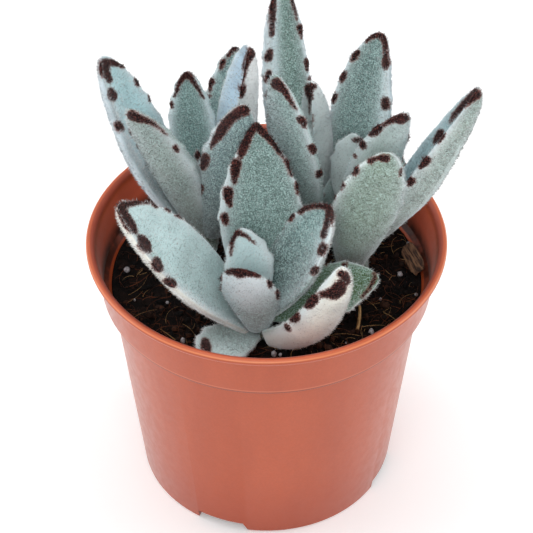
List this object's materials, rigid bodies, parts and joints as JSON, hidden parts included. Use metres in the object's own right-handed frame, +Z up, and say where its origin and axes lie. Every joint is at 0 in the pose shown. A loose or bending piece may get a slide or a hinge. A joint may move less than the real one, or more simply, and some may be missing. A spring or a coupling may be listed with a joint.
{
  "type": "panda plant in a nursery pot",
  "caption": "Panda plant with thick felted leaves, brown-toothed along their edges, in rosettes on short stems, growing in potting soil in a tapered terracotta-coloured plastic nursery pot.",
  "frame": {"origin": "centre of the flat pad under the pot, on the plane that the pot stands on", "axes": "+Z up along the pot's axis; -Y towards the front, where the short front stem stands; +X to the right seen from the front"},
  "size_m": [0.1265, 0.12, 0.1777],
  "materials": {
    "pot_plastic": "satin moulded plastic, terracotta colour",
    "soil": "dark moist peat with fine tan fibres and white perlite",
    "stem": "grey-green, felted",
    "leaf": "grey-green under short white felt, dark brown-red along the edge teeth and tip",
    "bark": "rough grey-brown bark",
    "straw": "dry tan"
  },
  "bodies": {
    "root": {"pot": "pot_plastic", "soil": "soil", "stem_a": "stem", "stem_b": "stem", "stem_c": "stem", "stem_d": "stem", "leaf_a1": "leaf", "leaf_a2": "leaf", "leaf_a3": "leaf", "leaf_a4": "leaf", "leaf_a5": "leaf", "leaf_a6": "leaf", "leaf_a7": "leaf", "leaf_a8": "leaf", "leaf_b1": "leaf", "leaf_b2": "leaf", "leaf_b3": "leaf", "leaf_b4": "leaf", "leaf_b5": "leaf", "leaf_b6": "leaf", "leaf_b7": "leaf", "leaf_b8": "leaf", "leaf_b9": "leaf", "leaf_b10": "leaf", "leaf_b11": "leaf", "leaf_c1": "leaf", "leaf_c2": "leaf", "leaf_c3": "leaf", "leaf_c4": "leaf", "leaf_c5": "leaf", "leaf_c6": "leaf", "leaf_c7": "leaf", "leaf_d1": "leaf", "leaf_d2": "leaf", "leaf_d3": "leaf", "leaf_d4": "leaf", "leaf_d5": "leaf", "leaf_d6": "leaf", "leaf_d7": "leaf", "bark_chip": "bark", "straw": "straw"}
  },
  "joints": []
}
